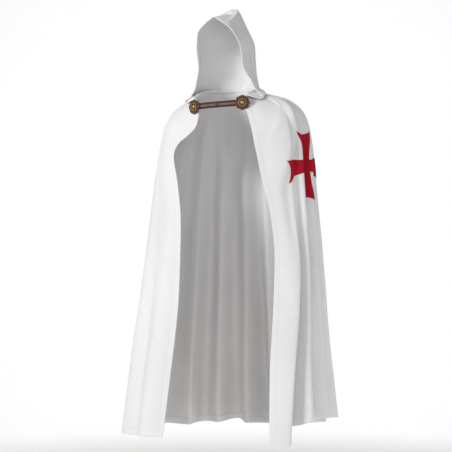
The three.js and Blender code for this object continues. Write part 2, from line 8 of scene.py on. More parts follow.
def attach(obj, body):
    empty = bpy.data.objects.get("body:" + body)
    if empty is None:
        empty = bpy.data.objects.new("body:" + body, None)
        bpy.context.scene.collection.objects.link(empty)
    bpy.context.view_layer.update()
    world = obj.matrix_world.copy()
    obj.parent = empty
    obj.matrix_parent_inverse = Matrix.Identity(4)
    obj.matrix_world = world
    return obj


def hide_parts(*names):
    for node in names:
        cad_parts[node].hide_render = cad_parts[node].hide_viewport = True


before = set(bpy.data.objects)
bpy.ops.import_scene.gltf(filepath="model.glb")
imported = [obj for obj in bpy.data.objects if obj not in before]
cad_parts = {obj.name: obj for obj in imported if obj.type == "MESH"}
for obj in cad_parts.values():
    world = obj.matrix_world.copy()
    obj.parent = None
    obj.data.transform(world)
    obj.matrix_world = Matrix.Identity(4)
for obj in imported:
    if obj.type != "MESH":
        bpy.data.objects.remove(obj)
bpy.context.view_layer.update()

# The cape: a back and two front panels of white wool twill, a little over a quarter of a
# circle in all, sewn together at the sides and hung from the neckline. Patterns are in
# millimetres, with the front towards -Y; meshes are made in metres.
MM = 0.001
CLOTH = 2.0
HEM_WIDTH = 16.0
HEM_CLOTH = 1.3
CAPE_DROP = 1235.0
PANEL_CUTS = {"right": 0.305, "left": 0.695}
FRONT_SHARE = 0.17
FOLD_SWELL = 3.0
FOLD_BALANCE = 0.62

RING_COLUMNS = ("level half_width shift front back front_z right_z left_z back_z"
                " square_front square_back right_edge_x left_edge_x").split()
RINGS = np.array([
    [0, 103, 0, 125, 72, -2, 45, 45, 43, 5, 2.2, 74, 90],
    [0.012, 106, 1, 126, 76, -11, 38, 39, 35, 4.8, 2.2, 74, 92],
    [0.04, 124, 3, 129, 89, -27, 32, 35, 22, 4, 2.3, 73, 99],
    [0.08, 160, 6, 138, 108, -56, 21, 26, -2, 3.2, 2.5, 73, 112],
    [0.12, 202, 9, 147, 126, -92, 6, 12, -36, 2.8, 2.7, 84, 124],
    [0.155, 236, 12, 153, 138, -126, -20, -15, -70, 2.7, 2.5, 118, 134],
    [0.19, 257, 12, 158, 147, -158, -57, -54, -106, 2.55, 2.35, 152, 142],
    [0.24, 272, 11, 163, 156, -206, -113, -110, -158, 2.4, 2.2, 173, 154],
    [0.32, 287, 6, 168, 168, -294, -206, -200, -246, 2.3, 2.15, 146, 177],
    [0.42, 299, 0, 174, 188, -406, -328, -316, -364, 2.25, 2.15, 124, 209],
    [0.55, 313, -5, 184, 214, -556, -494, -470, -524, 2.25, 2.2, 117, 233],
    [0.7, 330, -12, 200, 247, -736, -694, -652, -714, 2.25, 2.2, 114, 240],
    [0.85, 351, -22, 220, 281, -932, -920, -850, -922, 2.2, 2.2, 122, 241],
    [1, 374, -26, 240, 314, -1146, -1166, -1070, -1144, 2.2, 2.2, 142, 242],
])

# The hanging folds, from the right front edge round the back to the left one: where each
# lies at the neckline and at the hem, its rise, start, lean and drop.
FOLDS = np.array([
    [-0.05, -0.05, 20, 0.3, 0, 0],
    [0.04, 0.036, 30, 0.3, 0, 0],
    [0.122, 0.12, 44, 0.26, 6, 4],
    [0.205, 0.203, 62, 0.15, 0, -4],
    [0.28, 0.282, 70, 0.13, -10, 5],
    [0.352, 0.355, 84, 0.16, 8, -3],
    [0.425, 0.43, 74, 0.22, 0, 6],
    [0.503, 0.503, 92, 0.18, -8, -8],
    [0.578, 0.577, 78, 0.2, 10, 2],
    [0.648, 0.65, 82, 0.15, 0, -4],
    [0.715, 0.716, 68, 0.12, 6, 3],
    [0.772, 0.778, 58, 0.07, 0, -6],
    [0.822, 0.838, 56, 0.03, -4, 0],
    [0.868, 0.895, 56, 0.06, -6, 6],
    [0.893, 0.976, 66, 0.02, -42, -44],
    [1.09, 1.08, 40, 0.3, 0, 0],
])

# The fold beside the left front edge, a row of that table, is pulled nearly flat high up,
# beside the cross: how much, and the middle and reach of the flat stretch.
FRONT_FOLD = 14
FRONT_FOLD_OPENED = 0.75
FRONT_FOLD_FLAT = (0.37, 0.17)

# Soft creases between them, each from one place to another: round and level at both
# ends, rise (negative in a trough), width and bow.
CREASES = np.array([
    [0.057, 0.35, 0.052, 0.68, -4, 17, 5],
    [0.087, 0.72, 0.088, 0.96, -3.5, 14, 3],
    [0.095, 0.15, 0.1, 0.48, 3, 16, -5],
    [0.16, 0.12, 0.17, 0.48, -3.5, 16, 4],
    [0.24, 0.1, 0.245, 0.42, 3, 15, 5],
    [0.315, 0.11, 0.318, 0.38, -3.5, 15, -4],
    [0.39, 0.08, 0.392, 0.36, 3, 16, 5],
    [0.468, 0.06, 0.463, 0.42, -4, 17, -6],
    [0.54, 0.07, 0.545, 0.38, 3.5, 15, 4],
    [0.612, 0.08, 0.612, 0.44, -3.5, 16, 5],
    [0.68, 0.1, 0.683, 0.4, 3, 14, -4],
    [0.745, 0.11, 0.748, 0.48, -3.5, 13, 4],
    [0.788, 0.73, 0.787, 1, -3, 9, 2],
    [0.837, 0.13, 0.935, 0.37, -6, 20, 0],
    [0.842, 0.7, 0.845, 1, -4, 13, 0],
    [0.85, 0.27, 0.866, 0.48, -6, 14, 0],
    [0.867, 0.12, 0.932, 0.32, 5, 18, 5],
    [0.883, 0.5, 0.85, 0.64, -5, 18, 0],
    [0.888, 0.11, 0.972, 0.22, 2, 13, -3],
    [0.934, 0.33, 0.95, 0.56, -5, 17, 0],
])


def read(rows, columns, column, at):
    """The column's value where the first column has the value at, on a smooth curve."""
    keys, values = rows[:, 0], rows[:, columns.index(column)]
    place = np.arange(len(keys))
    before, after = np.maximum(place - 1, 0), np.minimum(place + 1, len(keys) - 1)
    slopes = (values[after] - values[before]) / (keys[after] - keys[before])
    at = np.asarray(at, float)
    k = np.clip(np.searchsorted(keys, at, side="right") - 1, 0, len(keys) - 2)
    span = keys[k + 1] - keys[k]
    t = (at - keys[k]) / span
    return ((2 * t**3 - 3 * t**2 + 1) * values[k] + (t**3 - 2 * t**2 + t) * span * slopes[k]
            + (3 * t**2 - 2 * t**3) * values[k + 1] + (t**3 - t**2) * span * slopes[k + 1])


def smooth(low, high, at):
    """A soft step from 0 at low to 1 at high."""
    t = np.clip((np.asarray(at, float) - low) / (high - low), 0, 1)
    return t * t * (3 - 2 * t)


def hump(at, middle, width):
    """A soft bump, 1 at its middle."""
    return np.exp(-((at - middle) / width) ** 2)


def steps_along(line):
    """The length along a line of points at each of them."""
    return np.concatenate([[0], np.cumsum(np.linalg.norm(np.diff(line, axis=0), axis=1))])


def points_at(line, lengths, wanted):
    """Points of a line at wanted lengths along it."""
    return np.stack([np.interp(wanted, lengths, column) for column in line.T], axis=1)


def ring_size(level):
    return {name: read(RINGS, RING_COLUMNS, name, level) for name in RING_COLUMNS}


def cape_ring(level):
    """The cape seen from above at one level: its sizes and its four quarter ovals."""
    size = ring_size(level)

    def oval(end, power, start_angle, end_angle, sign_x, sign_y):
        angle = np.linspace(start_angle, end_angle, 161)
        x = size["half_width"] * np.abs(np.sin(angle)) ** (2 / power)
        y = size[end] * np.abs(np.cos(angle)) ** (2 / power)
        return np.stack([sign_x * x, sign_y * y], axis=1)

    def edge_angle(x):
        return math.asin(min(x / size["half_width"], 1) ** (size["square_front"] / 2))

    side = math.pi / 2
    front, back = size["square_front"], size["square_back"]
    ovals = [
        oval("front", front, edge_angle(size["right_edge_x"]), side, -1, -1),
        oval("back", back, side, 0, -1, 1),
        oval("back", back, 0, side, 1, 1),
        oval("front", front, side, edge_angle(size["left_edge_x"]), 1, -1),
    ]
    return size, ovals


def on_ring(ovals, rounds):
    """Points on a ring: 0 is the right front edge, 0.5 the middle of the back."""
    knots = [0, FRONT_SHARE, 0.5, 1 - FRONT_SHARE, 1]
    part = np.clip(np.searchsorted(knots, rounds, side="right") - 1, 0, 3)
    found = np.zeros((len(rounds), 2))
    for k, oval in enumerate(ovals):
        here = part == k
        lengths = steps_along(oval)
        along = np.clip((rounds[here] - knots[k]) / (knots[k + 1] - knots[k]), 0, 1) * lengths[-1]
        found[here] = points_at(oval, lengths, along)
    return found


def folds_at(rounds, level):
    """How far the hanging folds move each point outward, along the ring and down."""
    centres = FOLDS[:, 0] + (FOLDS[:, 1] - FOLDS[:, 0]) * level
    k = np.clip(np.searchsorted(centres, rounds, side="right") - 1, 0, len(FOLDS) - 2)
    f = (rounds - centres[k]) / (centres[k + 1] - centres[k])
    share = smooth(0, 1, f)
    folds = FOLDS.copy()
    opened = 1 - FRONT_FOLD_OPENED * hump(level, *FRONT_FOLD_FLAT)
    folds[FRONT_FOLD, [2, 4]] *= opened
    rise, start, lean, drop = folds[k, 2:].T * (1 - share) + folds[k + 1, 2:].T * share
    grown = np.maximum(0, (level - start) / (1 - start)) ** 0.85
    grown *= smooth(-0.02, 0.1, level - start)
    crest = np.cos(math.pi * f) ** 2
    sway = FOLD_SWELL * grown * np.sin(2 * math.pi * f)
    return rise * grown * (crest - FOLD_BALANCE), lean * grown * crest + sway, drop * grown * crest


def ring_height(size, x, y):
    """How high a ring lies at points on it."""
    to_left = smooth(-1, 1, x / size["half_width"])
    side_z = size["right_z"] * (1 - to_left) + size["left_z"] * to_left
    end_z = np.where(y < 0, size["front_z"], size["back_z"])
    depth = np.where(y < 0, size["front"], size["back"])
    return side_z + (end_z - side_z) * np.minimum((y / depth) ** 2, 1)


def cape_row(level, rounds):
    """Points of the cape's outer face at one level, in millimetres."""
    size, ovals = cape_ring(level)
    at = on_ring(ovals, rounds)
    step = 0.004
    along = on_ring(ovals, np.minimum(rounds + step, 1))
    along -= on_ring(ovals, np.maximum(rounds - step, 0))
    along /= np.linalg.norm(along, axis=1)[:, None]
    out = np.stack([-along[:, 1], along[:, 0]], axis=1)
    out *= np.where((out * at).sum(1) < 0, -1, 1)[:, None]
    rise, lean, drop = folds_at(rounds, level)
    plan = at + out * rise[:, None] + along * lean[:, None]
    z = ring_height(size, at[:, 0], at[:, 1])
    return np.stack([plan[:, 0] + size["shift"], plan[:, 1], z + drop], axis=1)


def spaced(length, near_start, count, near_end):
    """Distances from 0 to length: close together at the ends, even between them."""
    middle = np.linspace(near_start[-1], length - near_end[-1], count + 1)[1:-1]
    return np.concatenate([near_start, middle, length - np.array(near_end)[::-1]])


def normals_of(points, side=1):
    """Unit normals of a grid of points."""
    along = np.gradient(points, axis=1)
    down = np.gradient(points, axis=0)
    normal = side * np.cross(along, down)
    return normal / np.maximum(np.linalg.norm(normal, axis=2), 1e-9)[:, :, None]


def unevenness(points, size, height, seed):
    """Slow, irregular hills of handled cloth, longer down the cloth than across it."""
    flat = points.reshape(-1, 3) / size
    hills = [noise.noise(Vector((x + seed, y - seed, 0.45 * z))) for x, y, z in flat]
    return height * np.array(hills).reshape(points.shape[:2])


def creased(rounds, levels, ring_lengths):
    """The soft creases' rise at each point of a panel."""
    moved = np.zeros(rounds.shape)
    for a, top, b, low, rise, width, bow in CREASES:
        t = (levels - top) / (low - top)
        middle = a + (b - a) * np.clip(t, 0, 1)
        off = (rounds - middle) * ring_lengths + bow * np.sin(math.pi * np.clip(t, 0, 1))
        moved += rise * hump(off, 0, width) * smooth(-0.12, 0.25, t) * smooth(1.15, 0.6, t)
    return moved


def mesh_piece(name, points, faces, flats=None, wear_and_glint=None):
    """A smooth mesh object from points in millimetres, with its cut as UVs in metres."""
    data = bpy.data.meshes.new(name)
    data.from_pydata((np.asarray(points) * MM).tolist(), [], faces)
    data.polygons.foreach_set("use_smooth", [True] * len(data.polygons))
    if flats is not None:
        layer = data.uv_layers.new(name="cut")
        loops = np.zeros(len(data.loops), np.int32)
        data.loops.foreach_get("vertex_index", loops)
        layer.data.foreach_set("uv", (np.asarray(flats)[loops] * MM).ravel())
    # A tone per point for the leather and brass finishes: worn metal and patina on brass, a painted
    # highlight on the leather's raised parts.
    if wear_and_glint is not None:
        layer = data.attributes.new("wear_and_glint", "FLOAT", "POINT")
        layer.data.foreach_set("value", np.asarray(wear_and_glint, float))
    data.update()
    piece = bpy.data.objects.new(name, data)
    bpy.context.scene.collection.objects.link(piece)
    return piece


# The plain leather's tone value, between the dark grooves and the painted highlight on the ridges.
PLAIN_LEATHER_TONE = 0.35


def wall(name, outer, inner, flats, side=1, rounded=True, wear_and_glint=None):
    """A closed wall of cloth or leather between two grids, with a rounded edge."""
    rows, columns = outer.shape[:2]
    place = np.arange(rows * columns).reshape(rows, columns)
    a, b, c, d = place[:-1, :-1], place[1:, :-1], place[1:, 1:], place[:-1, 1:]
    front = np.stack([a, b, c, d], axis=-1).reshape(-1, 4)
    behind = np.stack([a, d, c, b], axis=-1).reshape(-1, 4) + rows * columns
    edge = np.array([(0, j) for j in range(columns - 1)]
                    + [(i, columns - 1) for i in range(rows - 1)]
                    + [(rows - 1, j) for j in range(columns - 1, 0, -1)]
                    + [(i, 0) for i in range(rows - 1, 0, -1)])
    at = tuple(edge.T)
    inward = np.clip(edge, 1, [rows - 2, columns - 2])
    top, low = outer[at], inner[at]
    away = top - outer[tuple(inward.T)]
    through = top - low
    thick = np.linalg.norm(through, axis=1)[:, None]
    away -= through * ((away * through).sum(1)[:, None] / thick**2)
    away /= np.maximum(np.linalg.norm(away, axis=1), 1e-9)[:, None]
    loops = [place[at]]
    points = [outer.reshape(-1, 3), inner.reshape(-1, 3)]
    cut = [flats.reshape(-1, 2)] * 2
    count = 2 * rows * columns
    for angle in ((45, 90, 135) if rounded else ()):
        turn = math.radians(angle)
        points.append((top + low) / 2 + through / 2 * math.cos(turn)
                      + away * thick / 2 * math.sin(turn))
        cut.append(flats[at])
        loops.append(np.arange(count, count + len(edge)))
        count += len(edge)
    loops.append(place[at] + rows * columns)
    rim = [np.stack([u, np.roll(u, -1), np.roll(v, -1), v], axis=1)
           for u, v in zip(loops, loops[1:])]
    faces = np.concatenate([front, behind, *rim])
    if side > 0:
        faces = faces[:, ::-1]
    if wear_and_glint is not None:
        wear_and_glint = np.concatenate([wear_and_glint.ravel(), np.full(count - rows * columns, PLAIN_LEATHER_TONE)])
    return mesh_piece(name, np.concatenate(points), faces.tolist(), np.concatenate(cut), wear_and_glint)


# Distances of the first grid lines from each sort of edge.
HEMMED_EDGE = [0, 0.8, 2, 4, 8, 12, 14.6, 15.5, 16.4, 17.4, 20, 25]
SEAM_EDGE = [0, 0.8, 2, 4, 7]
NECK_EDGE = [0, 2, 5]
LEVELS = spaced(CAPE_DROP, NECK_EDGE, 150, HEMMED_EDGE) / CAPE_DROP
BROAD_HILLS, SMALL_HILLS = (95, 2.2), (34, 0.8)
NECK_GATHERS, GATHER_RISE = 46, 0.7
STITCHED_DIP, STITCHED_WIDTH = 0.55, 1.3
HEM_SWELL = 0.25
SEAM_DIP, SEAM_DIP_WIDTH = 0.8, 1.6


def hem_share(distance, width):
    """1 where the cloth is turned under at its edge, 0 past the stitch line."""
    return smooth(width + 1.4, width - 0.4, distance)


def cape_panel(cut_from, cut_to, columns, near_start, near_end, seed):
    """One panel's grids: its faces, its flat cut and the distances from its edges."""
    rows, rounds, lengths = [], [], []
    for level in LEVELS:
        ring_length = sum(steps_along(oval)[-1] for oval in cape_ring(level)[1])
        length = (cut_to - cut_from) * ring_length
        share = spaced(length, near_start, columns, near_end) / length
        rounds.append(cut_from + (cut_to - cut_from) * share)
        rows.append(cape_row(level, rounds[-1]))
        lengths.append(ring_length)
    outer, rounds = np.array(rows), np.array(rounds)
    lengths = np.array(lengths)[:, None]
    levels = LEVELS[:, None] * np.ones_like(rounds)
    from_start, from_end = (rounds - cut_from) * lengths, (cut_to - rounds) * lengths
    from_hem = (1 - levels) * CAPE_DROP
    normal = normals_of(outer)
    moved = creased(rounds, levels, lengths)
    moved += unevenness(outer, *BROAD_HILLS, seed) * smooth(0.02, 0.2, levels)
    moved += unevenness(outer, *SMALL_HILLS, seed + 7) * smooth(0.0, 0.1, levels)
    gathers = np.sin(rounds * 2 * math.pi * NECK_GATHERS)
    moved += GATHER_RISE * gathers * smooth(0.05, 0.0, levels)
    hemmed = [from_hem]
    for distance, near in ((from_start, near_start), (from_end, near_end)):
        if near is SEAM_EDGE:
            moved -= SEAM_DIP * hump(distance, 0, SEAM_DIP_WIDTH)
        else:
            hemmed.append(distance)
    for distance in hemmed:
        moved -= STITCHED_DIP * hump(distance, HEM_WIDTH, STITCHED_WIDTH)
        moved += HEM_SWELL * smooth(HEM_WIDTH, HEM_WIDTH - 4, distance)
    thick = CLOTH + HEM_CLOTH * np.max([hem_share(far, HEM_WIDTH) for far in hemmed], axis=0)
    outer = outer + normal * moved[:, :, None]
    inner = outer - normals_of(outer) * thick[:, :, None]
    middle = (cut_from + cut_to) / 2
    flats = np.stack([(rounds - middle) * lengths, levels * CAPE_DROP], axis=2)
    return {"outer": outer, "inner": inner, "flats": flats, "hem": from_hem,
            "start": from_start, "end": from_end, "levels": levels, "rounds": rounds}


def node(material, kind, **settings):
    """A shader node with its settings and the values of its sockets."""
    made = material.node_tree.nodes.new(kind)
    for name, value in settings.items():
        if hasattr(made, name):
            setattr(made, name, value)
        else:
            made.inputs[name.replace("_", " ").title()].default_value = value
    return made


def new_material(name, colour, **constants):
    """A material with its shader's plain numbers set on the shader's own sockets."""
    material = bpy.data.materials.new(name)
    material.use_nodes = True
    shader = material.node_tree.nodes["Principled BSDF"]
    shader.inputs["Base Color"].default_value = (*colour, 1)
    for socket, value in constants.items():
        shader.inputs[socket.replace("_", " ")].default_value = value
    return material, shader, material.node_tree.links.new


def ramp(material, source, low, high, tones):
    """Maps a grey value onto a colour between two tones; a plain number is a grey."""
    made = node(material, "ShaderNodeValToRGB")
    made.color_ramp.elements[0].position, made.color_ramp.elements[1].position = low, high
    for element, tone in zip(made.color_ramp.elements, tones):
        element.color = (*np.broadcast_to(tone, 3), 1)
    material.node_tree.links.new(source, made.inputs["Fac"])
    return made.outputs["Color"]


def multiplied(material, amount, *colours):
    made = node(material, "ShaderNodeMix", data_type="RGBA", blend_type="MULTIPLY")
    made.inputs["Factor"].default_value = amount
    for colour, socket in zip(colours, "AB"):
        material.node_tree.links.new(colour, made.inputs[socket])
    return made.outputs["Result"]


def raised(material, source, strength, height, over=None):
    """The normal of a relief as high as the source says, laid over another one."""
    made = node(material, "ShaderNodeBump", Strength=strength, Distance=height * MM)
    material.node_tree.links.new(source, made.inputs["Height"])
    if over is not None:
        material.node_tree.links.new(over, made.inputs["Normal"])
    return made.outputs["Normal"]


def woven(name, colour, shade, thread_pitch, **constants):
    """Wool twill: diagonal ribs of crossing yarns under a short, soft nap."""
    material, shader, link = new_material(name, colour, Roughness=0.9, Specular_IOR_Level=0.25,
                                          **constants)
    cut = node(material, "ShaderNodeUVMap", uv_map="cut").outputs["UV"]
    where = node(material, "ShaderNodeTexCoord").outputs["Object"]
    yarns = []
    for angle, size in ((45, 1.0), (90, 0.7), (0, 0.7)):
        turned = node(material, "ShaderNodeMapping")
        turned.inputs["Rotation"].default_value = (0, 0, math.radians(angle))
        turned.inputs["Scale"].default_value = (0.314 / (thread_pitch * MM * size),) * 3
        link(cut, turned.inputs["Vector"])
        bands = node(material, "ShaderNodeTexWave", wave_type="BANDS", bands_direction="X",
                     Scale=1.0, Distortion=0.6, Detail=1.0)
        link(turned.outputs["Vector"], bands.inputs["Vector"])
        yarns.append(bands.outputs["Fac"])
    weave = multiplied(material, 0.5, yarns[0], yarns[1])
    weave = multiplied(material, 0.35, weave, yarns[2])
    nap = node(material, "ShaderNodeTexNoise", Scale=1500.0, Detail=4.0, Roughness=0.7)
    slub = node(material, "ShaderNodeTexNoise", Scale=140.0, Detail=3.0)
    soil = node(material, "ShaderNodeTexNoise", Scale=5.0, Detail=4.0, Roughness=0.6)
    for texture in (nap, slub, soil):
        link(where, texture.inputs["Vector"])
    tone = ramp(material, soil.outputs["Fac"], 0.3, 0.7, (shade, colour))
    ribs = ramp(material, weave, 0.0, 0.5, (0.9, 1.0))
    fibre = ramp(material, nap.outputs["Fac"], 0.3, 0.7, (0.94, 1.0))
    tone = multiplied(material, 1.0, tone, ribs)
    tone = multiplied(material, 1.0, tone, fibre)
    link(tone, shader.inputs["Base Color"])
    rough = ramp(material, slub.outputs["Fac"], 0.3, 0.7, (0.84, 0.96))
    link(rough, shader.inputs["Roughness"])
    relief = None
    for source, height in ((slub.outputs["Fac"], 0.35), (weave, 0.16), (nap.outputs["Fac"], 0.12)):
        relief = raised(material, source, 0.6, height, over=relief)
    link(relief, shader.inputs["Normal"])
    return material


white_wool = woven("white_wool", (0.83, 0.825, 0.82), (0.78, 0.772, 0.765), 1.1,
                   Sheen_Weight=0.25, Sheen_Roughness=0.5)

panels = {
    "back": cape_panel(PANEL_CUTS["right"], PANEL_CUTS["left"], 168, SEAM_EDGE, SEAM_EDGE, 3),
    "front_right": cape_panel(0, PANEL_CUTS["right"], 128, HEMMED_EDGE, SEAM_EDGE, 11),
    "front_left": cape_panel(PANEL_CUTS["left"], 1, 136, SEAM_EDGE, HEMMED_EDGE, 23),
}


def dress(piece, node_name, material):
    """Gives a piece its material and its body, and hides the solid that it stands for."""
    piece.data.materials.append(material)
    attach(piece, "root")
    if node_name:
        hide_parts(node_name)
    return piece


for name, panel in panels.items():
    made = wall(name + "_cloth", panel["outer"], panel["inner"], panel["flats"])
    dress(made, name, white_wool)

# Stitching: one row of white thread holds the turned hem and the facings of the front
# edges, sixteen millimetres in, and shows on both faces of the cloth.
# Pitch, length and thread.
HEM_STITCH = (5.0, 3.7, 0.55)


def grid_line(panel, face, distances, wanted, along_rows):
    """The line on a grid at a set distance from an edge, and the normals along it."""
    points = panel[face]
    normal = normals_of(panel["outer"]) * (1 if face == "outer" else -1)
    if not along_rows:
        points, normal, distances = (
            np.swapaxes(grid, 0, 1) for grid in (points, normal, distances))
    found = []
    for row, values in zip(distances, np.concatenate([points, normal], axis=2)):
        order = np.argsort(row)
        found.append([np.interp(wanted, row[order], column[order]) for column in values.T])
    return np.array(found)[:, :3], np.array(found)[:, 3:]


def sewn(name, lines, stitch, material):
    """A row of separate stitches along each line, their ends sunk in the cloth."""
    pitch, length, thread = stitch
    stations = np.linspace(-0.5, 0.5, 5)
    girth = np.array([0.35, 0.9, 1.0, 0.9, 0.35]) * thread / 2
    lifts = np.array([-0.5, 0.2, 0.4, 0.2, -0.5]) * thread
    corners = np.arange(6) * math.pi / 3
    points, faces, count = [], [], 0
    for line, out in lines:
        lengths = steps_along(line)
        at = np.arange(pitch * 0.6, lengths[-1] - pitch * 0.4, pitch)
        middle, normal = points_at(line, lengths, at), points_at(out, lengths, at)
        along = points_at(line, lengths, at + 0.8) - middle
        along /= np.linalg.norm(along, axis=1)[:, None]
        normal /= np.linalg.norm(normal, axis=1)[:, None]
        across = np.cross(along, normal)
        for m, t, n, a in zip(middle, along, normal, across):
            for step, r, lift in zip(stations, girth, lifts):
                centre = m + t * step * length + n * lift
                points.extend(centre + r * (math.cos(c) * a + math.sin(c) * n) for c in corners)
            for ring in range(4):
                for side in range(6):
                    u, v = count + ring * 6 + side, count + ring * 6 + (side + 1) % 6
                    faces.append((u, v, v + 6, u + 6))
            faces.append(tuple(range(count + 5, count - 1, -1)))
            faces.append(tuple(range(count + 24, count + 30)))
            count += 30
    return dress(mesh_piece(name, np.array(points), faces), None, material)


def thread_material(name, colour):
    """Twisted sewing thread."""
    material, shader, link = new_material(name, colour, Roughness=0.6, Sheen_Weight=0.2)
    where = node(material, "ShaderNodeTexCoord").outputs["Object"]
    twist = node(material, "ShaderNodeTexWave", wave_type="BANDS", bands_direction="DIAGONAL",
                 Scale=600.0)
    link(where, twist.inputs["Vector"])
    dark = tuple(0.86 * part for part in colour)
    tone = ramp(material, twist.outputs["Fac"], 0.1, 0.8, (dark, colour))
    link(tone, shader.inputs["Base Color"])
    link(raised(material, twist.outputs["Fac"], 0.5, 0.1), shader.inputs["Normal"])
    return material


white_thread = thread_material("white_thread", (0.80, 0.79, 0.77))
for name, edges in (("back", ["hem"]), ("front_right", ["hem", "start"]),
                    ("front_left", ["hem", "end"])):
    panel = panels[name]
    rows = [grid_line(panel, face, panel[edge], HEM_WIDTH, edge != "hem")
            for edge in edges for face in ("outer", "inner")]
    sewn(name + "_stitches", rows, HEM_STITCH, white_thread)

# The cross: four flared arms of crimson wool cut in one piece, laid high on the side of
# the left front panel, turned in at its edge and sewn round with red thread.
CROSS_SIZE = 245
CROSS_WAIST = 42
CROSS_ARM_END = 80
CROSS_END_DIP = 13
CROSS_SIDE_DIP = 4
CROSS_CLOTH = 1.0
CROSS_ROUND, CROSS_LEVEL = 0.848, 0.335
CROSS_LENGTH_OVER_HEIGHT = 1.04
CROSS_ABOVE = 0.35
EDGE_STITCH_INSET = 3.2
EDGE_STITCH = (3.4, 2.4, 0.5)
left_panel = panels["front_left"]


def measured_from(panel, at_round, at_level):
    """Distances across and up the panel's outer face from one point on it."""
    outer, rounds, levels = panel["outer"], panel["rounds"], panel["levels"]
    across = np.array([steps_along(row) for row in outer])
    zero = np.array([np.interp(at_round, *row) for row in zip(rounds, across)])
    up = -np.stack([steps_along(column) for column in outer.swapaxes(0, 1)], axis=1)
    start = [np.interp(at_level, *column) for column in zip(levels.T, up.T)]
    heights = [np.interp(at_round, *row) for row in zip(rounds, outer[:, :, 2])]
    by_height = outer[:, :, 2] - np.interp(at_level, levels[:, 0], heights)
    by_height *= CROSS_LENGTH_OVER_HEIGHT
    return across - zero[:, None], 0.5 * (up - start + by_height)


def on_grid(values, i, j):
    """Values of a grid between its points."""
    i0 = np.clip(i.astype(int), 0, values.shape[0] - 2)
    j0 = np.clip(j.astype(int), 0, values.shape[1] - 2)
    u, v = i - i0, j - j0
    if values.ndim == 3:
        u, v = u[:, None], v[:, None]
    return ((values[i0, j0] * (1 - v) + values[i0, j0 + 1] * v) * (1 - u)
            + (values[i0 + 1, j0] * (1 - v) + values[i0 + 1, j0 + 1] * v) * u)


across_panel, up_panel = measured_from(left_panel, CROSS_ROUND, CROSS_LEVEL)
panel_normals = normals_of(left_panel["outer"])


def on_panel(flat):
    """Where points of a flat pattern lie on the panel, and the normals there."""
    rows, columns = across_panel.shape
    x_wanted, y_wanted = flat.T
    i = np.full(len(flat), float(np.abs(left_panel["levels"][:, 0] - CROSS_LEVEL).argmin()))
    # Whole grid lines first, then the last share of a step by the slope.
    for _ in range(14):
        j = np.array([np.interp(x, across_panel[round(row)], np.arange(columns))
                      for x, row in zip(x_wanted, i)])
        down = [on_grid(up_panel, np.arange(rows, dtype=float), np.full(rows, jk)) for jk in j]
        i = np.array([np.interp(-y, -column, np.arange(rows)) for y, column in zip(y_wanted, down)])
    for _ in range(3):
        slope = on_grid(across_panel, i, np.minimum(j + 0.5, columns - 1))
        slope -= on_grid(across_panel, i, np.maximum(j - 0.5, 0))
        j = np.clip(j + (x_wanted - on_grid(across_panel, i, j)) / slope, 0, columns - 1)
        slope = on_grid(up_panel, np.minimum(i + 0.5, rows - 1), j)
        slope -= on_grid(up_panel, np.maximum(i - 0.5, 0), j)
        i = np.clip(i + (y_wanted - on_grid(up_panel, i, j)) / slope, 0, rows - 1)
    return on_grid(left_panel["outer"], i, j), on_grid(panel_normals, i, j)


def cross_pattern():
    """The cross laid flat: its points and faces, and the loop round its edge."""
    half, waist, end = CROSS_SIZE / 2, CROSS_WAIST / 2, CROSS_ARM_END / 2
    points, faces, found = [], [], {}

    def point(x, y):
        key = (round(x, 3), round(y, 3))
        if key not in found:
            found[key] = len(points)
            points.append((x, y))
        return found[key]

    def patch(place, rows, columns):
        grid = [[point(*place(i / rows, j / columns)) for j in range(columns + 1)]
                for i in range(rows + 1)]
        for i in range(rows):
            for j in range(columns):
                faces.append((grid[i][j], grid[i + 1][j], grid[i + 1][j + 1], grid[i][j + 1]))

    def arm(turn):
        def place(v, u):
            across = 2 * u - 1
            side = waist + (end - waist) * v - CROSS_SIDE_DIP * math.sin(math.pi * v)
            far = half - CROSS_END_DIP * math.cos(math.pi * across / 2)
            x, y = across * side, waist + (far - waist) * v
            for _ in range(turn):
                x, y = y, -x
            return x, y
        return place

    patch(lambda v, u: (waist * (2 * u - 1), waist * (2 * v - 1)), 14, 14)
    for turn in range(4):
        patch(arm(turn), 34, 14)
    edges = {}
    for face in faces:
        for a, b in zip(face, face[1:] + face[:1]):
            if edges.pop((b, a), None) is None:
                edges[(a, b)] = True
    after = {a: b for a, b in edges}
    loop = [next(iter(after))]
    while after[loop[-1]] != loop[0]:
        loop.append(after[loop[-1]])
    return np.array(points), faces, np.array(loop)


cross_flat, cross_faces, cross_loop = cross_pattern()
lying, outward = on_panel(cross_flat)
ring = cross_flat[cross_loop]
from_edge = np.array([np.linalg.norm(ring - p, axis=1).min() for p in cross_flat])
swell = CROSS_CLOTH * (0.45 + 0.55 * smooth(0, 2.2, from_edge)) + 0.25 * hump(from_edge, 3, 2)
upper = lying + outward * (CROSS_ABOVE + swell)[:, None]
lower = lying + outward * CROSS_ABOVE
count = len(cross_flat)
sides = [(count + a, count + b, b, a)
         for a, b in zip(np.roll(cross_loop, 1).tolist(), cross_loop.tolist())]
under = [tuple(count + k for k in reversed(face)) for face in cross_faces]
red_wool = woven("red_wool", (0.46, 0.003, 0.02), (0.38, 0.002, 0.015), 0.9,
                 Sheen_Weight=0.04, Sheen_Roughness=0.4)
made = mesh_piece("cross_cloth", np.concatenate([upper, lower]), cross_faces + under + sides,
                  np.concatenate([cross_flat] * 2))
cross_piece = dress(made, "cross", red_wool)
red_thread = thread_material("red_thread", (0.42, 0.006, 0.02))
ahead = np.roll(ring, -1, axis=0) - np.roll(ring, 1, axis=0)
inward = np.stack([ahead[:, 1], -ahead[:, 0]], axis=1) / np.linalg.norm(ahead, axis=1)[:, None]
seam = ring + EDGE_STITCH_INSET * inward
seam = np.concatenate([seam, seam[:1]])
seam_points, seam_out = on_panel(seam)
seam_points = seam_points + seam_out * (CROSS_ABOVE + CROSS_CLOTH + 0.1)
cross_stitches = sewn("cross_stitches", [(seam_points, seam_out)], EDGE_STITCH, red_thread)

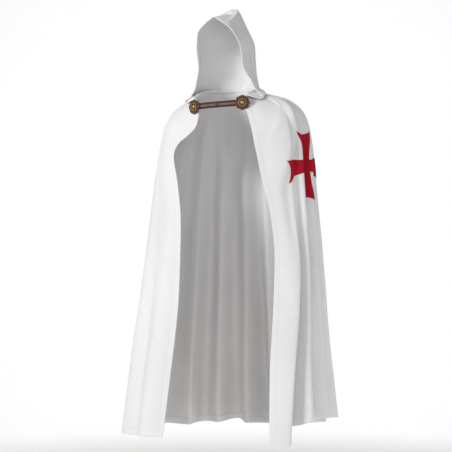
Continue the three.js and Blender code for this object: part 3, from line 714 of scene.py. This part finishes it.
# The hood: two halves of the same twill joined by a seam over the crown, sewn to the
# neckline. Its rim is turned in, spreads over the shoulders and rises to a small peak.
NECK_GAP = 0.2
HOOD_TURN = 9.0
HOOD_TURN_Y = -30
HOOD_FULLNESS = 0.86
HOOD_LAPEL_PINCH = 0.95
HOOD_LAPEL_LIFT = 0.3
HOOD_REST = 3.4
LAPEL_SOFTNESS = 6
HOOD_HEM = 13.0
HOOD_CUT_STEP = 40.0
HOOD_COLUMNS = "course rim_x rim_y rim_z seam_y seam_z".split()
HOOD = np.array([
    [0, 84, -113, 0, 72, 43],
    [1, 104, -110, 20, 70, 50],
    [2, 128, -98, 14, 70, 56],
    [3, 146, -80, 8, 72, 62],
    [4, 149, -66, 14, 74, 69],
    [5, 128, -66, 38, 75, 78],
    [6, 114, -68, 62, 76, 91],
    [7, 103, -74, 94, 77, 110],
    [8, 97, -81, 130, 78, 137],
    [9, 94, -88, 167, 78, 169],
    [10, 92, -98, 208, 72, 214],
    [11, 76, -113, 244, 54, 258],
    [11.5, 63, -117, 257, 34, 294],
    [12, 49, -119, 268, 4, 332],
    [12.3, 38, -120, 276, -16, 320],
    [12.6, 25, -121, 284, -54, 311],
    [13, 12, -121, 290, -119, 296],
])


def shoulder_height(x, y):
    """How high the cape's shoulder lies under points seen from above."""
    low, high = np.zeros(x.shape), np.full(x.shape, 0.2)

    def outside(level):
        size = ring_size(level)
        power = np.where(y < 0, size["square_front"], size["square_back"])
        depth = np.where(y < 0, size["front"], size["back"])
        aside = np.abs((x - size["shift"]) / size["half_width"]) ** power
        return aside + np.abs(y / depth) ** power > 1

    high = np.where(outside(low), high, 0)
    for _ in range(24):
        middle = (low + high) / 2
        out = outside(middle)
        low, high = np.where(out, middle, low), np.where(out, high, middle)
    return ring_height(ring_size((low + high) / 2), x, y)


def hood_points(side, share, course):
    """One half of the hood: share runs from rim to middle seam, course up to the crown."""
    rim_x, rim_y, rim_z, seam_y, seam_z = (
        read(HOOD, HOOD_COLUMNS, name, course) for name in HOOD_COLUMNS[1:])
    angle = share * math.pi / 2
    lapel = hump(course, 4, 1.8)
    sine, cosine = np.sin(angle), np.maximum(np.cos(angle), 0)
    x = side * rim_x * cosine ** (HOOD_FULLNESS + HOOD_LAPEL_PINCH * lapel)
    y = rim_y + (seam_y - rim_y) * sine
    z = rim_z + (seam_z - rim_z) * sine ** (1 - HOOD_LAPEL_LIFT * lapel)
    points = np.stack([x, y, z], axis=-1)
    neck = cape_row(0.0, 0.5 * share[0] if side < 0 else 1 - 0.5 * share[0])
    risen = smooth(0, 1.2, course)[..., None]
    lifted = neck[None] + np.stack([0 * course, 0 * course, NECK_GAP + 10 * course], axis=-1)
    points = lifted * (1 - risen) + points * risen
    rest = shoulder_height(points[..., 0], points[..., 1]) + HOOD_REST * smooth(0, 0.8, course)
    above = points[..., 2] - rest
    pressed = rest + 0.5 * (above + np.hypot(above, LAPEL_SOFTNESS * smooth(0, 0.8, course)))
    points[..., 2] = np.where((course > 0) & (points[..., 2] < 90), pressed, points[..., 2])
    turn = math.radians(HOOD_TURN) * smooth(55, 130, points[..., 2])
    ahead = points[..., 1] - HOOD_TURN_Y
    return np.stack([
        points[..., 0] * np.cos(turn) + ahead * np.sin(turn),
        -points[..., 0] * np.sin(turn) + ahead * np.cos(turn) + HOOD_TURN_Y,
        points[..., 2]], axis=-1)


# Its soft creases: side, share and course at both ends, rise and width.
HOOD_CREASES = [
    [1, 0.3, 6.8, 0.24, 10.2, -3, 11],
    [1, 0.62, 11.9, 0.36, 11, -3, 10],
    [1, 0.55, 5.6, 0.62, 8.8, -3.5, 14],
    [1, 0.1, 5.4, 0.35, 4.6, -3, 10],
    [1, 0.9, 7, 0.86, 10.2, 3, 15],
    [-1, 0.34, 6.6, 0.28, 10, -3, 12],
    [-1, 0.66, 11.8, 0.4, 10.8, -3, 10],
    [-1, 0.48, 5.8, 0.56, 9, -3, 14],
    [-1, 0.88, 6.6, 0.85, 9.8, -3, 14],
]
CREASE_STEPS = 24

# The knob at the peak: rises and dips along the seam, each with its place and its reach.
KNOB_HALF_WIDTH = 20
KNOB = ((13.0, 19, 11), (-9.0, 41, 8), (5.0, -10, 9))
RIM_WAVER, WAVER_PITCH = 2.6, 2.6
RIM_STITCHED_DIP, CROWN_SEAM_DIP = (0.5, 1.2), (0.7, 1.5)
HOOD_BROAD_HILLS, HOOD_SMALL_HILLS = (60, 2.0), (24, 0.7)


def hood_creased(side, points):
    """The hood's soft creases, each along a line drawn on the cloth between two places."""
    moved = np.zeros(points.shape[:2])
    for crease_side, share_a, course_a, share_b, course_b, rise, width in HOOD_CREASES:
        if crease_side != side:
            continue
        places = zip(np.linspace(share_a, share_b, CREASE_STEPS),
                     np.linspace(course_a, course_b, CREASE_STEPS))
        line = [hood_points(side, np.array([[share]]), np.array([[course]]))
                for share, course in places]
        far = np.min([np.linalg.norm(points - place, axis=2) for place in line], axis=0)
        moved += rise * hump(far, 0, width)
    return moved


def hood_half(side, seed):
    """The grids of one half: outer and inner face, and the flat cut."""
    courses = np.concatenate([np.linspace(0, 10, 120), np.linspace(10, 13, 81)[1:]])
    rim_shares = [0, 0.004, 0.012, 0.025, 0.045, 0.062, 0.07, 0.077, 0.084, 0.1]
    shares = np.concatenate([rim_shares, np.linspace(0.1, 0.985, 62)[1:], [0.99, 0.995, 1.0]])
    share, course = np.meshgrid(shares, courses)
    outer = hood_points(side, share, course)
    normal = normals_of(outer, side)
    from_rim = np.array([steps_along(row) for row in outer])
    to_seam = from_rim[:, -1:] - from_rim
    moved = unevenness(outer, *HOOD_BROAD_HILLS, seed)
    moved += unevenness(outer, *HOOD_SMALL_HILLS, seed + 5)
    moved += hood_creased(side, outer)
    moved *= smooth(0, 1.5, course) * smooth(0, 12, to_seam)
    dip, width = RIM_STITCHED_DIP
    moved -= dip * hump(from_rim, HOOD_HEM, width) * smooth(0.5, 1.5, course)
    dip, width = CROWN_SEAM_DIP
    moved -= dip * hump(to_seam, 0, width)
    thick = CLOTH + HEM_CLOTH * hem_share(from_rim, HOOD_HEM)
    outer = outer + normal * moved[..., None]
    ahead_of_tip = outer.reshape(-1, 3)[outer[..., 2].argmax()][1] - outer[..., 1]
    knob = sum(rise * hump(ahead_of_tip, place, reach) for rise, place, reach in KNOB)
    outer[..., 2] += hump(to_seam, 0, KNOB_HALF_WIDTH) * smooth(10.5, 11.5, course) * knob
    from_front = np.gradient(outer, axis=1)
    from_front /= np.linalg.norm(from_front, axis=2)[..., None]
    waver = RIM_WAVER * np.sin(course * WAVER_PITCH + seed)
    waver *= smooth(5, 6, course) * smooth(12.9, 12, course)
    outer += from_front * (waver * hump(from_rim, 0, 45))[..., None]
    inner = outer - normals_of(outer, side) * thick[..., None]
    return outer, inner, np.stack([side * to_seam, -course * HOOD_CUT_STEP], axis=2)


for name, side, seed in (("hood_right", -1, 31), ("hood_left", 1, 47)):
    made = wall(name + "_cloth", *hood_half(side, seed), side=side)
    dress(made, name, white_wool)

# The clasp's straps: two ends of dark red-brown leather, tooled with a twisted band
# between border lines, darker at the edges, the right one lying over the left one in a point.
CLASP_X, CLASP_Y, CLASP_Z = 1.0, 148.0, -8.0
CLASP_SLOPE = 0.05
CLASP_ANGLES = {"right": math.radians(-17), "left": math.radians(19.8)}
STRAP_WIDTH = 21.0
STRAP_LEATHER = 2.2
STRAP_POINT = 12.0
STRAP_TAIL = 0.042
STRAP_TIPS = {"left": -0.06, "right": 0.045}
STRAP_LAP = STRAP_LEATHER + 0.3
BORDER_INSET, BORDER_DEPTH, BORDER_WIDTH = 2.6, 0.45, 0.55
TWIST_SWING, TWIST_PITCH = 2.9, 4.2
STRAND_RISE, STRAND_WIDTH = 0.85, 1.25


def on_clasp(radius, angle, lift):
    """Points at a radius, an angle and a height on the curve of the clasp."""
    x = CLASP_X + radius * np.sin(angle)
    y = CLASP_Y - radius * np.cos(angle)
    return np.stack([x, y, CLASP_Z + CLASP_SLOPE * (x - CLASP_X) + lift], axis=-1)


def strap(name, inner_radius, from_angle, tip_angle):
    """One strap: thin at its edges, with border grooves and a twist down its middle."""
    half, long = STRAP_WIDTH / 2, abs(tip_angle - from_angle) * inner_radius
    along = np.linspace(0, long, 170)
    to_tip = long - along
    taper = np.clip(to_tip / STRAP_POINT, 0, 1)
    width = half * (0.06 + 0.94 * np.sin(taper * math.pi / 2) ** 0.8)
    across = np.sin(np.linspace(-1, 1, 33) * math.pi / 2)
    share, far = np.meshgrid(across, along)
    lift = share * width[:, None]
    angle = from_angle + (tip_angle - from_angle) * far / long
    edge = (1 - np.abs(share)) * width[:, None]
    border_groove = -BORDER_DEPTH * hump(edge, BORDER_INSET, BORDER_WIDTH)
    strands = [TWIST_SWING * np.sin(far / TWIST_PITCH + phase) for phase in (0, math.pi)]
    twist = STRAND_RISE * np.max([hump(lift, strand, STRAND_WIDTH) for strand in strands], axis=0)
    field = smooth(3.6, 5.0, edge) * smooth(STRAP_POINT, STRAP_POINT + 6, to_tip)[:, None]
    relief = border_groove + field * (twist - 0.25) - 0.9 * (1 - smooth(0, 1.4, edge))
    outer = on_clasp(inner_radius + STRAP_LEATHER + relief, angle, lift)
    inner = on_clasp(np.full(share.shape, inner_radius), angle, lift)
    # Paler on the raised twist as a painted highlight; darker in the border grooves and at the
    # edges.
    wear_and_glint = np.clip(PLAIN_LEATHER_TONE + 1.1 * relief, 0, 1)
    side = -1 if tip_angle > from_angle else 1
    return wall(name, outer, inner, np.stack([far, lift], axis=-1), side=side, wear_and_glint=wear_and_glint,
                rounded=False)


def wear_and_glint_finish(name, colour, tones, clouds, roughness, patches, relief, pores=None, **constants):
    """A finish dark in its hollows and bright on its high parts, in cloudy patches: on brass the
    dark is patina and the bright is worn metal, on leather the bright is a painted highlight.
    """
    material, shader, link = new_material(name, colour, **constants)
    where = node(material, "ShaderNodeTexCoord").outputs["Object"]
    wear_and_glint = node(material, "ShaderNodeAttribute", attribute_name="wear_and_glint").outputs["Fac"]
    cloudy = node(material, "ShaderNodeTexNoise", **patches)
    link(where, cloudy.inputs["Vector"])
    grain = cloudy.outputs["Fac"]
    if pores:
        cells = node(material, "ShaderNodeTexVoronoi", Scale=pores)
        link(where, cells.inputs["Vector"])
        grain = cells.outputs["Distance"]
    tone = multiplied(material, 1.0, ramp(material, wear_and_glint, *tones),
                      ramp(material, cloudy.outputs["Fac"], *clouds))
    link(tone, shader.inputs["Base Color"])
    rough = ramp(material, cloudy.outputs["Fac"], 0.3, 0.7, roughness)
    link(rough, shader.inputs["Roughness"])
    link(raised(material, grain, *relief), shader.inputs["Normal"])
    return material


# Vegetable-tanned leather, darker in its grooves, with a painted highlight on its ridges.
leather = wear_and_glint_finish("tooled_leather", (0.05, 0.012, 0.01),
                 tones=(0.15, 0.9, ((0.016, 0.003, 0.003), (0.40, 0.20, 0.18))),
                 clouds=(0.25, 0.75, (0.7, 1.0)), roughness=(0.50, 0.68),
                 patches={"Scale": 160.0, "Detail": 5.0}, relief=(0.45, 0.15), pores=1400.0,
                 Specular_IOR_Level=0.25)
solid = np.array([v.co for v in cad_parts["strap_left"].data.vertices]) / MM
strap_radius = np.hypot(solid[:, 0] - CLASP_X, solid[:, 1] - CLASP_Y).min()
for side, radius, tail in (("left", strap_radius, STRAP_TAIL),
                           ("right", strap_radius + STRAP_LAP, -STRAP_TAIL)):
    made = strap(f"strap_{side}_leather", radius, CLASP_ANGLES[side] + tail, STRAP_TIPS[side])
    dress(made, f"strap_{side}", leather)

# The rosettes: eight-lobed discs of the same leather, tooled with a line inside the
# edge and petals round the middle, each riveted through its strap to the front edge.
ROSETTE_SCALLOPS = 8
ROSETTE_RADIUS = 26.0
ROSETTE_SCALLOP_DEPTH = 3.2
ROSETTE_LEATHER = 3.4
ROSETTE_TURNS = 192
seat_radius = {"left": strap_radius + STRAP_LAP, "right": strap_radius + 2 * STRAP_LAP}


def place_on_clasp(points, angle, radius):
    """Turns points of a disc, made facing up, to face outward from the clasp's curve."""
    x, y, z = points[..., 0], points[..., 1], points[..., 2]
    at = on_clasp(radius, angle, 0)
    return np.stack([at[0] + x * math.cos(angle) + z * math.sin(angle),
                     at[1] + x * math.sin(angle) - z * math.cos(angle),
                     at[2] + y], axis=-1)


def disc(name, radii, heights, turns, outline, relief, angle, radius, wear_and_glint_of):
    """A round piece from rings of points: outline shapes it, relief raises it."""
    theta = np.linspace(0, 2 * math.pi, turns, endpoint=False)
    ring, turn = np.meshgrid(radii, theta, indexing="ij")
    height = np.interp(ring, radii, heights) + relief(ring, turn)
    far = ring * outline(turn, ring)
    top = np.stack([far * np.cos(turn), far * np.sin(turn), height], axis=-1)
    low = top[-1].copy()
    low[:, 2] = 0
    points = np.concatenate([top.reshape(-1, 3), low, [[0, 0, heights[0]], [0, 0, 0]]])
    faces = []
    for i in range(len(radii)):
        for j in range(turns):
            a, b = i * turns + j, i * turns + (j + 1) % turns
            faces.append((a, a + turns, b + turns, b))
    middle, floor = len(points) - 2, len(points) - 1
    last = len(radii) * turns
    faces += [(middle, j, (j + 1) % turns) for j in range(turns)]
    faces += [(floor, last + (j + 1) % turns, last + j) for j in range(turns)]
    wear_and_glint = np.clip(wear_and_glint_of(ring, height), 0, 1).ravel()
    wear_and_glint = np.concatenate([wear_and_glint, np.full(turns + 2, 0.3)])
    return mesh_piece(name, place_on_clasp(points, angle, radius), faces, wear_and_glint=wear_and_glint)


def lobe(turn, ring):
    """The scalloped edge, as a share of the radius."""
    depth = ROSETTE_SCALLOP_DEPTH / ROSETTE_RADIUS * smooth(0.5, 1, ring / ROSETTE_RADIUS)
    return 1 - depth * (1 - np.abs(np.cos(ROSETTE_SCALLOPS * turn / 2)) ** 0.6)


def petals(ring, turn):
    """The tooled line inside the edge and the lines between the petals."""
    rim_line = -0.45 * hump(ring, ROSETTE_RADIUS - 3.4, 0.5)
    between = np.abs(np.cos(ROSETTE_SCALLOPS * turn / 2))
    vein = -0.6 * hump(between, 0, 0.16) * smooth(16, 18.5, ring) * smooth(23.5, 21.5, ring)
    return rim_line + vein


# Darker in the tooled lines and down the bevelled edge, paler on the face, with a painted highlight
# in a ring at the top of the bevel.
def rosette_wear_and_glint(ring, height):
    return 0.34 + 0.9 * (height - ROSETTE_LEATHER) + 0.45 * hump(ring, 24.6, 0.7)


rosette_radii = np.concatenate([
    np.linspace(1, 15, 8), np.linspace(15.6, ROSETTE_RADIUS - 1.2, 26),
    ROSETTE_RADIUS - np.array([0.8, 0.45, 0.2, 0.05, 0])])
bevel = 1.1 * smooth(ROSETTE_RADIUS - 1.4, ROSETTE_RADIUS, rosette_radii) ** 2
for side in ("left", "right"):
    made = disc(f"rosette_{side}_leather", rosette_radii, ROSETTE_LEATHER - bevel, ROSETTE_TURNS,
                lobe, petals, CLASP_ANGLES[side], seat_radius[side], rosette_wear_and_glint)
    dress(made, f"rosette_{side}", leather)

# The bosses: turned brass buttons with a milled ring, a sunk channel and a domed
# middle, aged brown in the channel and bright where they are touched.
BOSS_RADIUS = 14.5
BOSS_HEIGHT = 5.6
BOSS_GAP = 0.3
BOSS_TURNS = 264
BOSS_TEETH = 44
# Radius and height, from the domed middle over the channel and the ring to the edge.
BOSS_PROFILE = np.array([
    [0.3, 5.6], [2.32, 5.544], [3.77, 5.32], [4.93, 4.928], [6.09, 4.144], [6.815, 3.136],
    [7.25, 1.904], [7.685, 1.624], [8.99, 1.624], [10.1, 1.68], [10.6, 2.016], [11.1, 2.8],
    [11.8, 3.36], [12.6, 3.528], [13.3, 3.248], [13.9, 2.576], [14.25, 2.128], [14.4, 1.232],
    [BOSS_RADIUS, 0.8],
])


def plain_round(turn, ring):
    return 1.0


def milled(ring, turn):
    """The teeth of the milled ring and a fine bead in the channel."""
    teeth = 0.28 * np.cos(BOSS_TEETH * turn) * hump(ring, BOSS_RADIUS - 2.0, 1.1)
    return teeth + 0.2 * hump(ring, BOSS_RADIUS * 0.6, 0.5)


def boss_worn(ring, height):
    return 0.25 + 0.75 * smooth(0.28, 0.66, height / BOSS_HEIGHT)


brass = wear_and_glint_finish("aged_brass", (0.55, 0.36, 0.12),
               tones=(0.15, 0.85, ((0.045, 0.024, 0.012), (0.50, 0.33, 0.14))),
               clouds=(0.35, 0.65, ((0.62, 0.58, 0.5), 1.0)), roughness=(0.50, 0.30),
               patches={"Scale": 420.0, "Detail": 6.0, "Roughness": 0.65}, relief=(0.3, 0.1),
               Metallic=1.0)
boss_radii = np.unique(np.concatenate([np.linspace(0.3, BOSS_RADIUS, 60), BOSS_PROFILE[:, 0]]))
boss_heights = np.interp(boss_radii, *BOSS_PROFILE.T)
for side in ("left", "right"):
    made = disc(f"boss_{side}_brass", boss_radii, boss_heights, BOSS_TURNS, plain_round, milled,
                CLASP_ANGLES[side], seat_radius[side] + ROSETTE_LEATHER + BOSS_GAP, boss_worn)
    dress(made, f"boss_{side}", brass)

# Floor and light: a pale studio floor that fades out, a strong lamp at the left, a broad
# weak one beside the camera and a low reflector at the right.
CAMERA_AZIMUTH = math.radians(27)
CAMERA_FAR = 5.5
CAMERA_HEIGHT = -0.4235
FOCAL_PIXELS = 1571
IMAGE_SIDE = 452
AXIS_COLUMN = 233
FLOOR_Z = -1.485
FLOOR_TURNS = 96
FLOOR_RINGS = [0.001, 0.6, 1.2, 1.8, 2.6, 3.4]

floor_data = bpy.data.meshes.new("studio_floor")
floor_points, floor_faces = [], []
for i, far in enumerate(FLOOR_RINGS):
    for k in range(FLOOR_TURNS):
        angle = 2 * math.pi * k / FLOOR_TURNS
        floor_points.append((far * math.cos(angle), far * math.sin(angle), FLOOR_Z))
        if i > 0:
            a, b = i * FLOOR_TURNS + k, i * FLOOR_TURNS + (k + 1) % FLOOR_TURNS
            floor_faces.append((a - FLOOR_TURNS, a, b, b - FLOOR_TURNS))
floor_data.from_pydata(floor_points, [], floor_faces)
floor = bpy.data.objects.new("studio_floor", floor_data)
bpy.context.scene.collection.objects.link(floor)
floor_finish, floor_shader, floor_link = new_material(
    "studio_floor", (0.94, 0.92, 0.89), Roughness=0.9, Specular_IOR_Level=0.1)
floor_where = node(floor_finish, "ShaderNodeTexCoord").outputs["Object"]
floor_far = node(floor_finish, "ShaderNodeVectorMath", operation="LENGTH")
floor_link(floor_where, floor_far.inputs[0])
floor_fade = node(floor_finish, "ShaderNodeMapRange", interpolation_type="SMOOTHSTEP",
                  From_Min=1.7, From_Max=3.2, To_Min=1.0, To_Max=0.0)
floor_link(floor_far.outputs["Value"], floor_fade.inputs["Value"])
floor_link(floor_fade.outputs["Result"], floor_shader.inputs["Alpha"])
floor_data.materials.append(floor_finish)


def beside_camera(right, ahead, z):
    """A place given as seen from the camera: to its right, towards it, and height."""
    sine, cosine = math.sin(CAMERA_AZIMUTH), math.cos(CAMERA_AZIMUTH)
    return Vector((right * cosine + ahead * sine, right * sine - ahead * cosine, z))


def lamp(name, place, power, size, aim):
    data = bpy.data.lights.new(name, "AREA")
    data.energy, data.size = power, size
    made = bpy.data.objects.new(name, data)
    made.location = place
    made.rotation_euler = (Vector(aim) - place).to_track_quat("-Z", "Y").to_euler()
    bpy.context.scene.collection.objects.link(made)


lamp("key_lamp", beside_camera(-3.3, 2.4, 1.3), 132, 1.2, (0, 0, -0.45))
lamp("fill_lamp", beside_camera(0.3, 4.6, 0.6), 39, 2.4, (0, 0, -0.45))
lamp("low_reflector", beside_camera(2.4, 1.1, -1.1), 14, 0.6, (0.2, 0, -1.2))

# The room: grey walls, brightest where the pale backdrop stands behind the cape.
ROOM_GREY = (0.36, 0.365, 0.378)
BACKDROP_WHITE = 1.0
world = bpy.data.worlds.new("studio")
bpy.context.scene.world = world
world.use_nodes = True
room_link = world.node_tree.links.new
room_where = node(world, "ShaderNodeTexCoord").outputs["Generated"]
room_turned = node(world, "ShaderNodeVectorMath", operation="DOT_PRODUCT")
room_turned.inputs[1].default_value = (-math.sin(CAMERA_AZIMUTH), math.cos(CAMERA_AZIMUTH), 0)
room_link(room_where, room_turned.inputs[0])
room_tone = ramp(world, room_turned.outputs["Value"], 0.90, 0.985,
                 (ROOM_GREY, BACKDROP_WHITE))
room_link(room_tone, world.node_tree.nodes["Background"].inputs["Color"])

# The camera: level with the middle of the cape, far off and towards its left side.
bpy.context.scene.view_settings.view_transform = "Standard"
camera = bpy.data.objects.new("camera", bpy.data.cameras.new("camera"))
bpy.context.scene.collection.objects.link(camera)
camera.data.sensor_width = 36
camera.data.lens = 36 * FOCAL_PIXELS / IMAGE_SIDE
camera.data.shift_x = (IMAGE_SIDE / 2 - AXIS_COLUMN) / IMAGE_SIDE
camera.location = beside_camera(0, CAMERA_FAR, CAMERA_HEIGHT)
camera.rotation_euler = (math.pi / 2, 0, CAMERA_AZIMUTH)
bpy.context.scene.camera = camera
